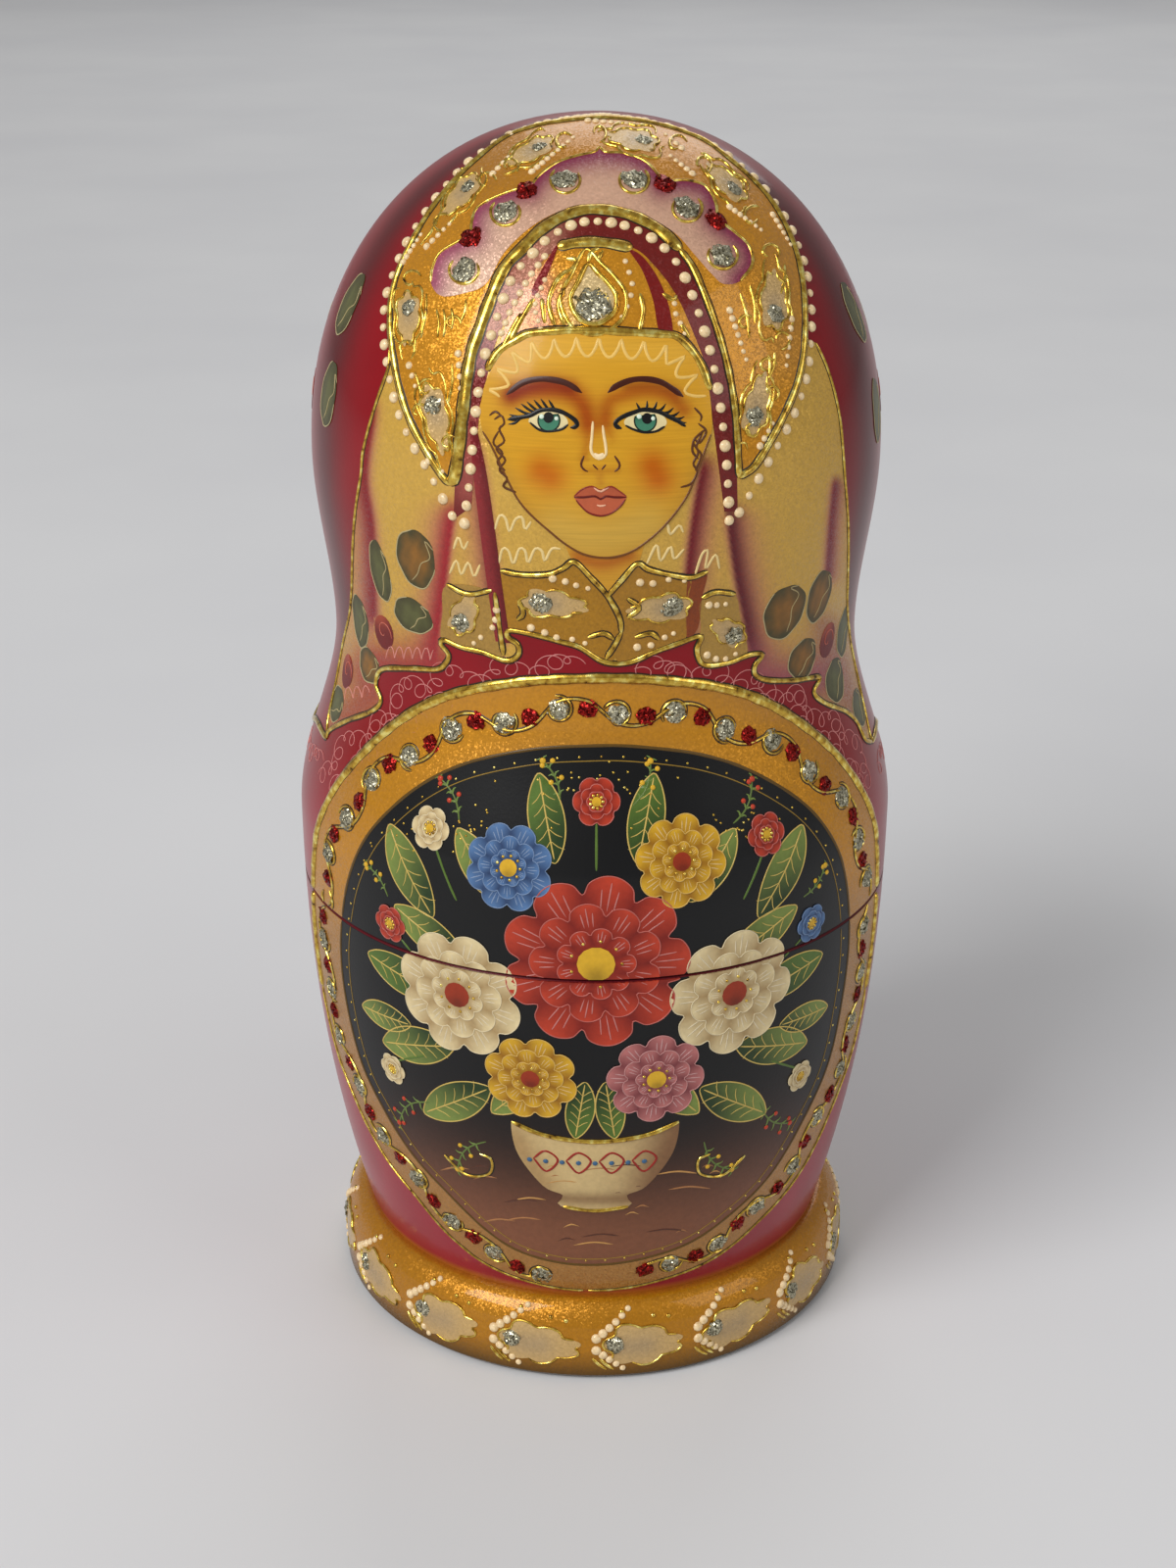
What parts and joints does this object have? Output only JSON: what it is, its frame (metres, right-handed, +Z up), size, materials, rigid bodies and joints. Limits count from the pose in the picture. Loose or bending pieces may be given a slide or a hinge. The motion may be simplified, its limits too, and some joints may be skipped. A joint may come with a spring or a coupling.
{
  "type": "matryoshka nesting doll",
  "caption": "Turned wooden nesting doll, painted and lacquered, whose upper half lifts off a spigot to show smaller dolls inside, down to a solid one.",
  "frame": {"origin": "on the axis, at the underside of the outer doll's base", "axes": "+Z up along the turning axis, the painted face towards -Y, +X to the viewer's right"},
  "size_m": [0.099, 0.099, 0.2],
  "materials": {
    "shawl_lacquer": "gloss lacquer",
    "dress_lacquer": "gloss lacquer",
    "solid_lacquer": "gloss lacquer"
  },
  "bodies": {
    "doll_1_upper": {"doll_1_upper": "shawl_lacquer"},
    "doll_1_lower": {"doll_1_lower": "dress_lacquer"},
    "doll_2_upper": {"doll_2_upper": "shawl_lacquer"},
    "doll_2_lower": {"doll_2_lower": "dress_lacquer"},
    "doll_3_upper": {"doll_3_upper": "shawl_lacquer"},
    "doll_3_lower": {"doll_3_lower": "dress_lacquer"},
    "doll_4_upper": {"doll_4_upper": "shawl_lacquer"},
    "doll_4_lower": {"doll_4_lower": "dress_lacquer"},
    "doll_5_upper": {"doll_5_upper": "shawl_lacquer"},
    "doll_5_lower": {"doll_5_lower": "dress_lacquer"},
    "doll_6_upper": {"doll_6_upper": "shawl_lacquer"},
    "doll_6_lower": {"doll_6_lower": "dress_lacquer"},
    "doll_7_solid": {"doll_7_solid": "solid_lacquer"}
  },
  "joints": [
    {"name": "lift_doll_2_lower", "type": "slide", "parent": "doll_1_lower", "child": "doll_2_lower", "axis": [0, 0, 1], "range_m": [0, 0.085]},
    {"name": "lift_doll_3_lower", "type": "slide", "parent": "doll_2_lower", "child": "doll_3_lower", "axis": [0, 0, 1], "range_m": [0, 0.07]},
    {"name": "lift_doll_4_lower", "type": "slide", "parent": "doll_3_lower", "child": "doll_4_lower", "axis": [0, 0, 1], "range_m": [0, 0.055]},
    {"name": "lift_doll_5_lower", "type": "slide", "parent": "doll_4_lower", "child": "doll_5_lower", "axis": [0, 0, 1], "range_m": [0, 0.045]},
    {"name": "lift_doll_6_lower", "type": "slide", "parent": "doll_5_lower", "child": "doll_6_lower", "axis": [0, 0, 1], "range_m": [0, 0.035]},
    {"name": "lift_doll_7_solid", "type": "slide", "parent": "doll_6_lower", "child": "doll_7_solid", "axis": [0, 0, 1], "range_m": [0, 0.03]},
    {"name": "lift_doll_6_upper", "type": "slide", "parent": "doll_7_solid", "child": "doll_6_upper", "axis": [0, 0, 1], "range_m": [0, 0.03]},
    {"name": "lift_doll_5_upper", "type": "slide", "parent": "doll_6_upper", "child": "doll_5_upper", "axis": [0, 0, 1], "range_m": [0, 0.035]},
    {"name": "lift_doll_4_upper", "type": "slide", "parent": "doll_5_upper", "child": "doll_4_upper", "axis": [0, 0, 1], "range_m": [0, 0.045]},
    {"name": "lift_doll_3_upper", "type": "slide", "parent": "doll_4_upper", "child": "doll_3_upper", "axis": [0, 0, 1], "range_m": [0, 0.06]},
    {"name": "lift_doll_2_upper", "type": "slide", "parent": "doll_3_upper", "child": "doll_2_upper", "axis": [0, 0, 1], "range_m": [0, 0.075]},
    {"name": "lift_doll_1_upper", "type": "slide", "parent": "doll_2_upper", "child": "doll_1_upper", "axis": [0, 0, 1], "range_m": [0, 0.095]}
  ]
}
